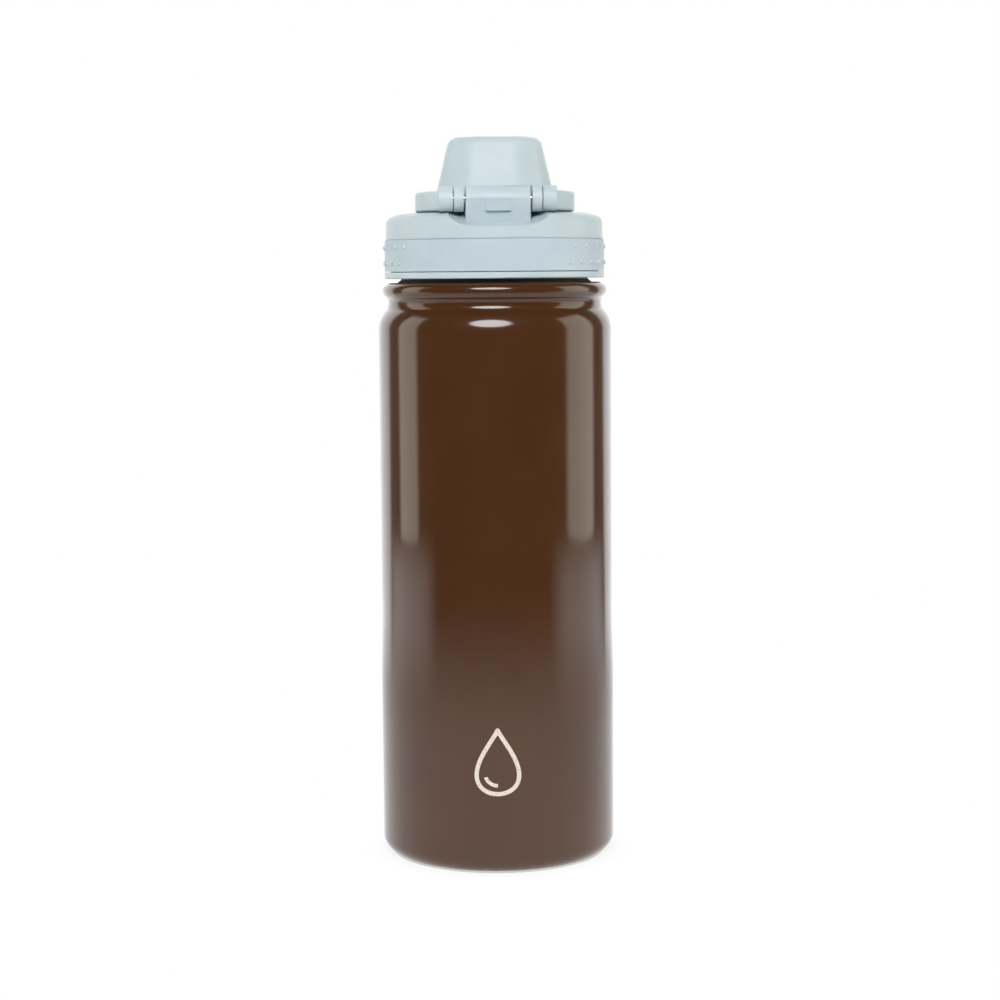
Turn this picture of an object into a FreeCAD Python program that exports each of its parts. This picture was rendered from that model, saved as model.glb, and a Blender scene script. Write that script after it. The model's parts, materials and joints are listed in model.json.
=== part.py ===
import FreeCAD, Part

import os

import Sketcher

# Insulated sports bottle with a flip lid. Millimetres, +Z up, origin at the centre of the foot.
# The lid's hinge stands at -Y, its push button at +Y.

V = FreeCAD.Vector
Rotation = FreeCAD.Rotation
NUBS_IN_ROW = 30
SHOULDER_SHARE = 0.745

SIZES = {
    # painted outer shell
    "body_radius": 36.5,
    "steel": 0.6,
    "shell_bottom": 0.9,
    "shell_foot_radius": 34.35,
    "corner_top": 5.0,
    "shoulder_bottom": 164.0,
    "groove_radius": 33.4,
    "groove_height": 172.3,
    "bead_radius": 35.1,
    "bead_height": 176.3,
    "bead_belly": 3.1,
    "bead_round": 2.4,
    # base plate, its recess and what is fixed to it
    "foot_radius": 34.1,
    "foot_inner": 30.2,
    "recess": 2.6,
    "recess_radius": 28.8,
    "flange_top": 4.2,
    "plug_radius": 5.0,
    "getter_radius": 6.0,
    "getter_height": 2.2,
    # inner flask
    "flask_radius": 33.2,
    "flask_bottom": 6.4,
    "flask_round": 9.0,
    "flask_shoulder": 152.0,
    "neck_bottom": 173.0,
    "flask_neck_radius": 27.0,
    "mouth_height": 189.0,
    # threaded neck collar
    "collar_radius": 28.0,
    "collar_bottom": 177.0,
    "pitch": 4.0,
    "thread_depth": 1.3,
    "thread_root": 2.3,
    "thread_crest": 0.8,
    "thread_start": 181.8,
    "thread_turns": 1.2,
    # black gasket on the shoulder
    "gasket_radius": 30.1,
    "gasket_lip_radius": 29.0,
    "gasket_height": 1.9,
    # lid
    "lid_radius": 34.0,
    "lid_bottom": 179.9,
    "rim_top": 182.1,
    "rim_seam": 0.25,
    "grip_top": 191.7,
    "grip_inner": 32.2,
    "seam": 0.1,
    "thread_wall": 29.9,
    "ceiling": 190.5,
    "ceiling_plate": 1.8,
    "cover_radius": 33.6,
    "cover_wall": 2.2,
    "deck": 199.8,
    "deck_plate": 2.0,
    "deck_flat_radius": 26.5,
    "edge_inset": 1.8,
    "edge_drop": 0.95,
    "edge_height": 197.0,
    "edge_round": 2.0,
    # rows of grip nubs
    "nub_radius": 0.8,
    "nub_height": 0.5,
    "nub_pitch": 9.0,
    "nub_start": -51.0,
    "nub_upper": 189.4,
    "nub_lower": 184.6,
    # rear scoop and hinge
    "scoop_half": 17.2,
    "scoop_flat": 9.6,
    "block_half": 19.0,
    "scoop_floor": 195.2,
    "scoop_rise": 0.3,
    "scoop_run": 22.0,
    "scoop_front": -18.5,
    "hinge_setback": 25.5,
    "hinge_height": 203.6,
    "barrel_radius": 3.9,
    "bracket_width": 19.4,
    "bracket_edge": 0.45,
    "tab_width": 7.6,
    "tab_depth": 1.0,
    "tab_low": 3.7,
    "tab_high": 1.2,
    "knuckle_inner": 10.25,
    "knuckle_root": -17.6,
    "knuckle_outer": 13.15,
    "ear_inner": 13.45,
    "ear_outer": 17.5,
    "ear_radius": 3.8,
    "pin_radius": 1.25,
    "pin_play": 0.05,
    "spring_chamber": 6.0,
    # flip cover
    "dome_half": 19.1,
    "dome_bottom": 200.1,
    "dome_top": 222.6,
    "dome_draft": 13.0,
    "dome_round": 3.2,
    "dome_wall": 1.8,
    "dome_front_centre": 4.8,
    "dome_rear": 22.0,
    "dome_rear_round": 14.0,
    # carry loop
    "loop_gap": 0.4,
    "loop_half": 24.3,
    "loop_bottom": 200.1,
    "loop_top": 206.1,
    "loop_edge": 0.8,
    "loop_shoulder": -23.5,
    # drinking path
    "spout_place": 6.0,
    "spout_radius": 8.0,
    "spout_bore": 6.2,
    "spout_top": 214.0,
    "spout_flange": 10.2,
    "plug_bottom": 183.2,
    "plug_wall": 1.6,
    "plug_outer": 25.6,
    "vent_place": 9.0,
    # push button and catch
    "button_low": 192.9,
    "button_high": 197.1,
    "button_angle": 27.0,
    "button_stand": 34.2,
    "button_play": 0.35,
    "rail_inner": 6.0,
    "rail_outer": 7.8,
    "catch_half": 5.0,
    "catch_bottom": 194.4,
    "catch_front": 24.1,
    "post_front": 26.35,
}


class Size:
    """A length that carries its value and the spreadsheet formula it comes from."""

    def __init__(self, value, formula):
        self.value = value
        self.formula = formula

    def combine(self, sign, other, value):
        return Size(value, f"({self.formula} {sign} {size_of(other).formula})")

    def __add__(self, other):
        return self.combine("+", other, self.value + size_of(other).value)

    def __sub__(self, other):
        return self.combine("-", other, self.value - size_of(other).value)

    def __mul__(self, other):
        return self.combine("*", other, self.value * size_of(other).value)

    def __truediv__(self, other):
        return self.combine("/", other, self.value / size_of(other).value)

    def __neg__(self):
        return size_of(0.0) - self


def size_of(number):
    """A plain number taken as a Size, and a Size as itself."""
    return number if isinstance(number, Size) else Size(number, repr(float(number)))


class Sizes:
    """The sheet's sizes by name."""

    def __getattr__(self, name):
        return Size(SIZES[name], f"dims.{name}")


doc = FreeCAD.newDocument("bottle")
sheet = doc.addObject("Spreadsheet::Sheet", "dims")
for row, (alias, number) in enumerate(SIZES.items(), start=1):
    sheet.set(f"A{row}", alias)
    sheet.set(f"B{row}", str(number))
    sheet.setAlias(f"B{row}", alias)
doc.recompute()
d = Sizes()
nodes = []


# ---------------------------------------------------------------- sketch and feature helpers

def node_body(label):
    """A new body whose label is the sub-part's name."""
    body = doc.addObject("PartDesign::Body", label)
    body.Label = label
    nodes.append(body)
    return body


def sketch_on(body, name, plane, lift=0.0, turn=None):
    """A sketch on one of the body's origin planes, lifted along the plane's normal."""
    support = next(item for item in body.Origin.OriginFeatures if item.Role == plane)
    sketch = body.newObject("Sketcher::SketchObject", name)
    sketch.AttachmentSupport = [(support, "")]
    sketch.MapMode = "FlatFace"
    lift = size_of(lift)
    sketch.AttachmentOffset = FreeCAD.Placement(V(0, 0, lift.value), turn or Rotation())
    sketch.setExpression("AttachmentOffset.Base.z", lift.formula)
    return sketch


def hold(sketch, kind, geometry, end, size):
    """Holds one coordinate of a point, measured from the sketch's origin."""
    size = size_of(size)
    index = sketch.addConstraint(Sketcher.Constraint(kind, -1, 1, geometry, end, size.value))
    sketch.setExpression(f"Constraints[{index}]", size.formula)


def hold_radius(sketch, geometry, size):
    index = sketch.addConstraint(Sketcher.Constraint("Radius", geometry, size.value))
    sketch.setExpression(f"Constraints[{index}]", size.formula)


def arc_between(start, end, radius):
    """The short arc from start to end: its centre lies to the left for a positive radius."""
    chord = end - start
    middle = (start + end) * 0.5
    rise = max(radius ** 2 - (chord.Length / 2) ** 2, 0.0) ** 0.5
    left = V(-chord.y, chord.x, 0).normalize()
    centre = middle + left * (rise if radius > 0 else -rise)
    ends = (start, end) if radius > 0 else (end, start)
    axis = V(1, 0, 0)
    angles = [axis.getAngle(point - centre) * (1 if point.y >= centre.y else -1) for point in ends]
    return Part.ArcOfCircle(Part.Circle(centre, V(0, 0, 1), abs(radius)), *angles)


def outline(sketch, corners):
    """A closed outline. A corner is (x, y), or (x, y, radius) when an arc leads on from it."""
    corners = [tuple(size_of(item) for item in corner) for corner in corners]
    points = [V(corner[0].value, corner[1].value, 0) for corner in corners]
    count = len(corners)
    first = sketch.GeometryCount
    ends = []
    for i, corner in enumerate(corners):
        start, end = points[i], points[(i + 1) % count]
        if len(corner) == 3:
            sketch.addGeometry(arc_between(start, end, corner[2].value), False)
            ends.append((1, 2) if corner[2].value > 0 else (2, 1))
        else:
            sketch.addGeometry(Part.LineSegment(start, end), False)
            ends.append((1, 2))
    for i in range(count):
        following = (i + 1) % count
        sketch.addConstraint(Sketcher.Constraint(
            "Coincident", first + i, ends[i][1], first + following, ends[following][0]))
    for i, corner in enumerate(corners):
        hold(sketch, "DistanceX", first + i, ends[i][0], corner[0])
        hold(sketch, "DistanceY", first + i, ends[i][0], corner[1])
        if len(corner) == 3:
            radius = corner[2] if corner[2].value > 0 else -corner[2]
            hold_radius(sketch, first + i, radius)


def circle(sketch, x, y, radius):
    """A full circle, its centre and radius held by sizes."""
    x, y, radius = size_of(x), size_of(y), size_of(radius)
    geometry = sketch.GeometryCount
    sketch.addGeometry(Part.Circle(V(x.value, y.value, 0), V(0, 0, 1), radius.value), False)
    hold(sketch, "DistanceX", geometry, 3, x)
    hold(sketch, "DistanceY", geometry, 3, y)
    hold_radius(sketch, geometry, radius)


def tangent_radius(across, along):
    """Radius of an arc that starts straight ahead and ends across and along from its start."""
    return (across * across + along * along) / (across * 2)


def s_curve(start, end, share):
    """Corners of a smooth S between two places whose outline runs straight up at both ends.

    The first arc takes the given share of both radii and bends inward when the radius shrinks."""
    across = start[0] - end[0]
    along = end[1] - start[1]
    total = tangent_radius(across, along)
    bend = (start[0] + (end[0] - start[0]) * share, start[1] + along * share)
    return [(start[0], start[1], total * share), (bend[0], bend[1], -(total * (size_of(1.0) - share)))]


def apply(feature, name, size):
    size = size_of(size)
    setattr(feature, name, size.value)
    feature.setExpression(name, size.formula)


def extrude(body, kind, name, sketch, length, side="One side", flip=False, draft=None, slope=None):
    """A Pad or a Pocket that really adds or removes material, square to its sketch or on a slope."""
    doc.recompute()
    before = body.Shape.Volume if body.Tip and not body.Shape.isNull() else 0.0
    feature = body.newObject(f"PartDesign::{kind}", name)
    feature.Profile = sketch
    apply(feature, "Length", length)
    feature.SideType = side
    feature.Reversed = flip
    if draft is not None:
        apply(feature, "TaperAngle", draft)
    if slope:
        feature.UseCustomVector = True
        feature.Direction = V(*slope)
    doc.recompute()
    change = feature.Shape.Volume - before
    if (change > 0) != (kind == "Pad"):
        raise ValueError(f"{body.Label}: {name} changes the volume by {change:.3f}")
    return feature


def pad(body, name, sketch, length, **options):
    return extrude(body, "Pad", name, sketch, length, **options)


def pocket(body, name, sketch, length, **options):
    return extrude(body, "Pocket", name, sketch, length, **options)


def revolve(body, name, sketch, angle=360.0, axis="V_Axis", side="One side"):
    feature = body.newObject("PartDesign::Revolution", name)
    feature.Profile = sketch
    feature.ReferenceAxis = (sketch, [axis])
    feature.Midplane = side == "Symmetric"
    apply(feature, "Angle", angle)
    doc.recompute()
    return feature


def turned(label, corners, x=0.0, y=0.0):
    """A body of one outline turned about its own upright axis, which stands at (x, y)."""
    body = node_body(label)
    sketch = sketch_on(body, f"{label}_outline", "XZ_Plane")
    outline(sketch, corners)
    revolve(body, f"{label}_turned", sketch)
    for axis, place in (("x", size_of(x)), ("y", size_of(y))):
        if place.value:
            body.setExpression(f"Placement.Base.{axis}", place.formula)
    return body


def mirrored(body, feature, name):
    """Repeats a feature on the other side of the YZ plane."""
    mirror = body.newObject("PartDesign::Mirrored", name)
    mirror.Originals = [feature]
    plane = next(item for item in body.Origin.OriginFeatures if item.Role == "YZ_Plane")
    mirror.MirrorPlane = (plane, [""])
    body.Tip = mirror
    doc.recompute()
    return mirror


def edges_where(shape, test):
    """Names of the edges whose every vertex passes the test."""
    return [f"Edge{i}" for i, edge in enumerate(shape.Edges, start=1)
            if all(test(vertex.Point) for vertex in edge.Vertexes)]


def fillet(body, name, base, edges, radius):
    doc.recompute()
    feature = body.newObject("PartDesign::Fillet", name)
    feature.Base = (base, edges)
    apply(feature, "Radius", radius)
    doc.recompute()
    return feature


def rectangle(x0, x1, y0, y1):
    return [(x0, y0), (x1, y0), (x1, y1), (x0, y1)]


def rounded_rectangle(x0, x1, y0, y1, radius):
    """A rectangle whose four corners are quarter arcs."""
    return [
        (x0 + radius, y0), (x1 - radius, y0, radius),
        (x1, y0 + radius), (x1, y1 - radius, radius),
        (x1 - radius, y1), (x0 + radius, y1, radius),
        (x0, y1 - radius), (x0, y0 + radius, radius)]


def thread(body, name, wall, start, direction, turns):
    """A helical tooth on a wall: direction is 1 outward or -1 inward."""
    root = wall - d.steel * (0.5 * direction)
    crest = wall + d.thread_depth * direction
    half_root = d.thread_root / 2
    half_crest = d.thread_crest / 2
    sketch = sketch_on(body, f"{name}_tooth", "XZ_Plane")
    outline(sketch, [
        (root, start - half_root), (crest, start - half_crest),
        (crest, start + half_crest), (root, start + half_root)])
    helix = body.newObject("PartDesign::AdditiveHelix", name)
    helix.Profile = sketch
    helix.ReferenceAxis = (sketch, ["V_Axis"])
    helix.Mode = "pitch-turns-angle"
    apply(helix, "Pitch", d.pitch)
    apply(helix, "Turns", turns)
    helix.Refine = False
    doc.recompute()


# ---------------------------------------------------------------- steel bottle

def shell_side(inset):
    """The outside of the steel shell from its foot to the top of the bead, moved in by inset."""
    side = d.body_radius - inset
    foot = d.shell_foot_radius - inset
    corner = tangent_radius(side - foot, d.corner_top - d.shell_bottom)
    bead = d.bead_radius - inset
    groove = (d.groove_radius - inset, d.groove_height)
    share = d.bead_belly / tangent_radius(
        d.bead_radius - d.groove_radius, d.bead_height - d.groove_height)
    up_to_bead = s_curve(groove, (bead, d.bead_height), size_of(1.0) - share)
    return [
        (foot, d.shell_bottom, corner),
        (side, d.corner_top),
        *s_curve((side, d.shoulder_bottom), groove, SHOULDER_SHARE),
        *up_to_bead,
        (bead, d.bead_height, d.bead_round - inset),
        (d.bead_radius - d.bead_round, d.bead_height + d.bead_round - inset),
    ]


def reversed_outline(corners):
    """The same outline walked the other way, its arcs moved to the corners they now lead from."""
    turned_back = []
    for i in range(len(corners) - 1, -1, -1):
        arc = corners[i - 1][2:] if i else ()
        turned_back.append((corners[i][0], corners[i][1], *[-radius for radius in arc]))
    return turned_back


def outer_shell():
    collar_hole = d.collar_radius + d.seam
    top = d.bead_height + d.bead_round
    turned("outer_shell", [
        *shell_side(size_of(0.0)),
        (collar_hole, top),
        (collar_hole, top - d.steel),
        *reversed_outline(shell_side(d.steel)),
    ])


def base_plate():
    foot = d.foot_radius
    turned("base_plate", [
        (0.0, d.recess),
        (d.recess_radius, d.recess),
        (d.foot_inner, 0.0),
        (foot - d.steel, 0.0, d.steel),
        (foot, d.steel),
        (foot, d.shell_bottom),
        (d.shell_foot_radius - d.steel - d.seam, d.shell_bottom),
        (d.shell_foot_radius - d.steel - d.seam, d.flange_top),
        (d.shell_foot_radius - d.steel * 2, d.flange_top),
        (d.shell_foot_radius - d.steel * 2, d.shell_bottom),
        (d.foot_inner + d.steel, d.shell_bottom),
        (d.recess_radius + d.steel, d.recess + d.steel),
        (0.0, d.recess + d.steel),
    ])


def vacuum_fittings():
    """The disc that closes the pumping hole, and the gas getter inside the vacuum space."""
    turned("seal_plug", [
        (0.0, d.recess - d.steel),
        (d.plug_radius - 0.3, d.recess - d.steel, 0.3),
        (d.plug_radius, d.recess - d.steel + 0.3),
        (d.plug_radius, d.recess),
        (0.0, d.recess),
    ])
    base = d.recess + d.steel
    turned("getter_cup", [
        (0.0, base),
        (d.getter_radius, base),
        (d.getter_radius, base + d.getter_height),
        (d.getter_radius - d.steel, base + d.getter_height),
        (d.getter_radius - d.steel, base + d.steel),
        (0.0, base + d.steel),
    ])


def flask_side(inset):
    side = d.flask_radius - inset
    neck = (d.flask_neck_radius - inset, d.neck_bottom)
    return [
        (side - d.flask_round + inset, d.flask_bottom + inset, d.flask_round - inset),
        (side, d.flask_bottom + d.flask_round),
        *s_curve((side, d.flask_shoulder), neck, 0.5),
        neck,
    ]


def inner_flask():
    lip = d.steel * 0.8
    turned("inner_flask", [
        (0.0, d.flask_bottom),
        *flask_side(size_of(0.0)),
        (d.flask_neck_radius, d.mouth_height - lip * 2),
        (d.collar_radius - lip, d.mouth_height - lip * 2, lip),
        (d.collar_radius, d.mouth_height - lip, lip),
        (d.collar_radius - lip, d.mouth_height),
        (d.flask_neck_radius, d.mouth_height, d.steel),
        (d.flask_neck_radius - d.steel, d.mouth_height - d.steel),
        *reversed_outline(flask_side(d.steel)),
        (0.0, d.flask_bottom + d.steel),
    ])


def neck_collar():
    body = turned("neck_collar", rectangle(
        d.flask_neck_radius + 0.02, d.collar_radius,
        d.collar_bottom, d.mouth_height - d.steel * 1.8))
    thread(body, "neck_thread", d.collar_radius, d.thread_start, 1, d.thread_turns)


def shoulder_gasket():
    base = d.bead_height + d.bead_round
    turned("shoulder_gasket", [
        (d.collar_radius + d.seam, base),
        (d.gasket_radius, base),
        (d.gasket_lip_radius, base + d.gasket_height * 0.45),
        (d.gasket_lip_radius, base + d.gasket_height - 0.3, 0.3),
        (d.gasket_lip_radius - 0.3, base + d.gasket_height),
        (d.collar_radius + d.seam, base + d.gasket_height),
    ])


# ---------------------------------------------------------------- lid

def lid_gasket():
    turned("lid_gasket", [
        (d.plug_outer + 0.3, d.mouth_height + d.seam),
        (d.collar_radius + 0.6, d.mouth_height + d.seam),
        (d.collar_radius + 0.6, d.ceiling - d.seam),
        (d.plug_outer + 0.3, d.ceiling - d.seam),
    ])


def lid_body():
    plate = d.ceiling + d.ceiling_plate
    body = turned("lid_body", [
        (d.thread_wall + 0.5, d.lid_bottom),
        (d.lid_radius - 0.4, d.lid_bottom, 0.4),
        (d.lid_radius, d.lid_bottom + 0.4),
        (d.lid_radius, d.rim_top - d.rim_seam - 0.15, 0.15),
        (d.lid_radius - 0.15, d.rim_top - d.rim_seam),
        (d.grip_inner, d.rim_top - d.rim_seam),
        (d.grip_inner, d.grip_top),
        (d.cover_radius - d.cover_wall - 0.3, d.grip_top),
        (d.cover_radius - d.cover_wall - 0.3, plate),
        (0.0, plate),
        (0.0, d.ceiling),
        (d.thread_wall, d.ceiling),
        (d.thread_wall, d.lid_bottom + 1.4),
        (d.thread_wall + 0.5, d.lid_bottom + 0.9),
    ])
    post = sketch_on(body, "spring_post_plan", "XY_Plane", plate)
    outline(post, rectangle(-2.8, 2.8, d.post_front - 1.4, d.post_front))
    pad(body, "spring_post", post, d.button_high - plate)
    passages = sketch_on(body, "passages_plan", "XY_Plane", plate)
    circle(passages, 0.0, d.spout_place, d.spout_radius + d.seam)
    circle(passages, 0.0, -d.vent_place, 1.2)
    pocket(body, "passages", passages, d.ceiling_plate)
    thread(body, "lid_thread", d.thread_wall, d.thread_start + d.pitch / 2, -1,
           d.thread_turns - 0.2)


def grip_ring():
    """Soft ring with two staggered rows of nubs, plain across the hinge side."""
    body = turned("grip_ring", [
        (d.grip_inner + 0.05, d.rim_top),
        (d.lid_radius, d.rim_top),
        (d.lid_radius, d.grip_top - 0.25, 0.25),
        (d.lid_radius - 0.25, d.grip_top),
        (d.grip_inner + 0.05, d.grip_top),
    ])
    rows = (("lower", d.nub_lower, 0.0), ("upper", d.nub_upper, SIZES["nub_pitch"] / 2))
    cap = tangent_radius(d.nub_height, d.nub_radius)
    for row_name, height, stagger in rows:
        sketch = sketch_on(body, f"{row_name}_nub", "XZ_Plane",
                           turn=Rotation(V(0, 1, 0), stagger))
        sketch.setExpression("AttachmentOffset.Base.y", height.formula)
        outline(sketch, [
            (d.lid_radius - 0.3, 0.0),
            (d.lid_radius + d.nub_height, 0.0, cap),
            (d.lid_radius, d.nub_radius),
            (d.lid_radius - 0.3, d.nub_radius),
        ])
        nub = revolve(body, f"{row_name}_nub_turned", sketch, axis="H_Axis")
        pattern = body.newObject("PartDesign::PolarPattern", f"{row_name}_nubs")
        pattern.Originals = [nub]
        axis = next(item for item in body.Origin.OriginFeatures if item.Role == "Z_Axis")
        pattern.Axis = (axis, [""])
        pattern.Occurrences = NUBS_IN_ROW
        apply(pattern, "Angle", d.nub_pitch * (pattern.Occurrences - 1))
        pattern.Refine = False
        body.Tip = pattern
        doc.recompute()
    body.Placement = FreeCAD.Placement(V(), Rotation(V(0, 0, 1), SIZES["nub_start"]))


def lid_cover():
    """Top of the lid with the rear scoop, the hinge bracket, and the cut-outs for the catch."""
    inner = d.cover_radius - d.cover_wall
    crown = tangent_radius(d.edge_drop, d.cover_radius - d.edge_inset - d.deck_flat_radius)
    body = turned("lid_cover", [
        (inner, d.grip_top + d.seam),
        (d.cover_radius, d.grip_top + d.seam),
        (d.cover_radius - 0.2, d.edge_height, d.edge_round),
        (d.cover_radius - d.edge_inset, d.deck - d.edge_drop, crown),
        (d.deck_flat_radius, d.deck),
        (0.0, d.deck),
        (0.0, d.deck - d.deck_plate),
        (inner - 1.2, d.deck - d.deck_plate),
        (inner, d.deck - d.deck_plate - 0.8),
    ])
    web_bottom = d.scoop_floor - 1.8
    block = sketch_on(body, "scoop_block_plan", "XY_Plane", web_bottom)
    arc = d.cover_radius - 1.2
    back = -((SIZES["cover_radius"] - 1.2) ** 2 - SIZES["block_half"] ** 2) ** 0.5
    outline(block, [
        (-d.block_half, d.scoop_front + 2.0), (-d.block_half, back, arc),
        (d.block_half, back), (d.block_half, d.scoop_front + 2.0)])
    pad(body, "scoop_block", block, d.deck - 1.0 - web_bottom)

    scoop = sketch_on(body, "scoop_face", "XZ_Plane", d.cover_radius)
    rim_z = d.deck + 0.6
    flank = tangent_radius(rim_z - d.scoop_floor, d.scoop_half - d.scoop_flat)
    outline(scoop, [
        (-d.scoop_half, rim_z, flank), (-d.scoop_flat, d.scoop_floor),
        (d.scoop_flat, d.scoop_floor, flank),
        (d.scoop_half, rim_z), (d.scoop_half, rim_z + 6.0), (-d.scoop_half, rim_z + 6.0)])
    pocket(body, "scoop", scoop, d.scoop_run, slope=(0.0, 1.0, SIZES["scoop_rise"]))

    bracket = sketch_on(body, "bracket_side", "YZ_Plane")
    axis_y, axis_z, reach = -d.hinge_setback, d.hinge_height, d.barrel_radius
    outline(bracket, [
        (axis_y - reach + 1.2, d.scoop_floor - 0.6),
        (axis_y + reach, d.scoop_floor - 0.6),
        (axis_y + reach, axis_z, reach),
        (axis_y, axis_z + reach, reach),
        (axis_y - reach, axis_z),
    ])
    block = pad(body, "bracket", bracket, d.bracket_width, side="Symmetric")
    half = SIZES["bracket_width"] / 2
    cheeks = [name for name in edges_where(block.Shape, lambda p: abs(abs(p.x) - half) < 0.01)
              if max(v.Z for v in block.Shape.getElement(name).Vertexes) > SIZES["deck"]]
    fillet(body, "bracket_edges", block, cheeks, d.bracket_edge)
    tab = sketch_on(body, "tab_side", "YZ_Plane")
    face = axis_y - reach - d.tab_depth
    outline(tab, [
        (axis_y - reach + 2.0, axis_z - d.tab_low),
        (face + 0.5, axis_z - d.tab_low),
        (face + 0.2, axis_z - d.tab_high),
        (axis_y - reach + 2.0, axis_z - d.tab_high),
    ])
    pad(body, "tab", tab, d.tab_width, side="Symmetric")

    bore = sketch_on(body, "pin_bore_side", "YZ_Plane")
    circle(bore, axis_y, axis_z, d.pin_radius + d.pin_play)
    pocket(body, "pin_bore", bore, d.bracket_width + 2, side="Symmetric")
    chamber = sketch_on(body, "spring_chamber_side", "YZ_Plane")
    circle(chamber, axis_y, axis_z, d.barrel_radius - 0.9)
    pocket(body, "spring_chamber", chamber, d.spring_chamber * 2, side="Symmetric")

    holes = sketch_on(body, "deck_holes_plan", "XY_Plane", d.deck)
    circle(holes, 0.0, d.spout_place, d.spout_radius + d.seam)
    circle(holes, 0.0, -d.vent_place, 1.55)
    outline(holes, rectangle(
        -d.catch_half - 0.7, d.catch_half + 0.7, d.catch_front - 4.2, d.catch_front + 1.2))
    pocket(body, "deck_holes", holes, d.deck_plate + 0.5)

    window = sketch_on(body, "window_face", "XZ_Plane", -d.cover_radius - 1.0)
    low, high = d.button_low - d.button_play, d.button_high + d.button_play
    half = d.rail_outer + 0.25 + d.button_play
    outline(window, rounded_rectangle(-half, half, low, high, size_of(1.8)))
    pocket(body, "window", window, 6.5, flip=True)


def lid_liner():
    """Cup-shaped plug that hangs into the neck, with the drinking hole and the vent in its floor."""
    inner = d.plug_outer - d.plug_wall
    body = turned("lid_liner", [
        (0.0, d.plug_bottom),
        (d.plug_outer - 1.0, d.plug_bottom, 1.0),
        (d.plug_outer, d.plug_bottom + 1.0),
        (d.plug_outer, d.ceiling - 0.02),
        (inner, d.ceiling - 0.02),
        (inner, d.plug_bottom + d.plug_wall),
        (0.0, d.plug_bottom + d.plug_wall),
    ])
    holes = sketch_on(body, "liner_holes_plan", "XY_Plane", d.plug_bottom + d.plug_wall)
    circle(holes, 0.0, d.spout_place, d.spout_bore)
    circle(holes, 0.0, -d.vent_place, 1.2)
    pocket(body, "liner_holes", holes, d.plug_wall + 1)


def spout():
    bottom = d.plug_bottom + d.plug_wall
    lip = (d.spout_radius - d.spout_bore) / 2
    turned("spout", [
        (d.spout_bore, bottom),
        (d.spout_radius, bottom),
        (d.spout_radius, d.deck + 0.05),
        (d.spout_flange, d.deck + 0.05),
        (d.spout_flange, d.deck + 0.7, 0.6),
        (d.spout_flange - 0.6, d.deck + 1.3),
        (d.spout_radius + 0.6, d.deck + 1.3, -0.6),
        (d.spout_radius, d.deck + 1.9),
        (d.spout_radius, d.spout_top - lip, lip),
        (d.spout_radius - lip, d.spout_top, lip),
        (d.spout_bore, d.spout_top - lip),
    ], y=d.spout_place)


def vent_valve():
    turned("vent_valve", [
        (0.5, d.deck - d.deck_plate - 1.0),
        (1.45, d.deck - d.deck_plate - 1.0),
        (1.45, d.deck + 0.05),
        (3.2, d.deck + 0.05),
        (3.2, d.deck + 0.5, 1.2),
        (2.0, d.deck + 1.7),
        (0.5, d.deck + 1.7),
    ], y=-d.vent_place)


def coil(label, radius, wire, pitch, turns, base):
    """A wire spring: a round wire swept along a helix, placed by base."""
    body = node_body(label)
    sketch = sketch_on(body, f"{label}_wire", "XZ_Plane")
    circle(sketch, radius, wire, wire)
    helix = body.newObject("PartDesign::AdditiveHelix", f"{label}_coil")
    helix.Profile = sketch
    helix.ReferenceAxis = (sketch, ["V_Axis"])
    helix.Mode = "pitch-turns-angle"
    apply(helix, "Pitch", pitch)
    apply(helix, "Turns", turns)
    body.Placement = base
    doc.recompute()


def hinge_hardware():
    """Steel pin through bracket, knuckles and ears, and the torsion spring round it."""
    length = d.ear_outer * 2 - 1.0
    pin = doc.addObject("Part::Cylinder", "pin_bar")
    apply(pin, "Radius", d.pin_radius)
    apply(pin, "Height", length)
    doc.recompute()
    rounded = doc.addObject("Part::Chamfer", "hinge_pin")
    rounded.Label = "hinge_pin"
    rounded.Base = pin
    rims = [i for i, edge in enumerate(pin.Shape.Edges, start=1)
            if edge.Curve.TypeId == "Part::GeomCircle"]
    rounded.Edges = [(i, 0.3, 0.3) for i in rims]
    rounded.Placement = FreeCAD.Placement(
        V(-length.value / 2, -d.hinge_setback.value, d.hinge_height.value),
        Rotation(V(0, 1, 0), 90))
    nodes.append(rounded)
    coil("cover_spring", 2.1, 0.35, 1.2, 8.0, FreeCAD.Placement(
        V(-5.15, -d.hinge_setback.value, d.hinge_height.value), Rotation(V(0, 1, 0), 90)))


# ---------------------------------------------------------------- flip cover

def dome_plan(inset):
    """Plan of the cover: round at the front, flatter with broad corners at the hinge side."""
    half = d.dome_half - inset
    front = d.dome_front_centre
    rear = d.dome_rear_round - inset
    corner_x = d.dome_half - d.dome_rear_round
    corner_y = d.dome_rear_round - d.dome_rear
    return [
        (half, front, half),
        (0.0, front + half, half),
        (-half, front),
        (-half, corner_y, rear),
        (-corner_x, corner_y - rear),
        (corner_x, corner_y - rear, rear),
        (half, corner_y),
    ]


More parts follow.
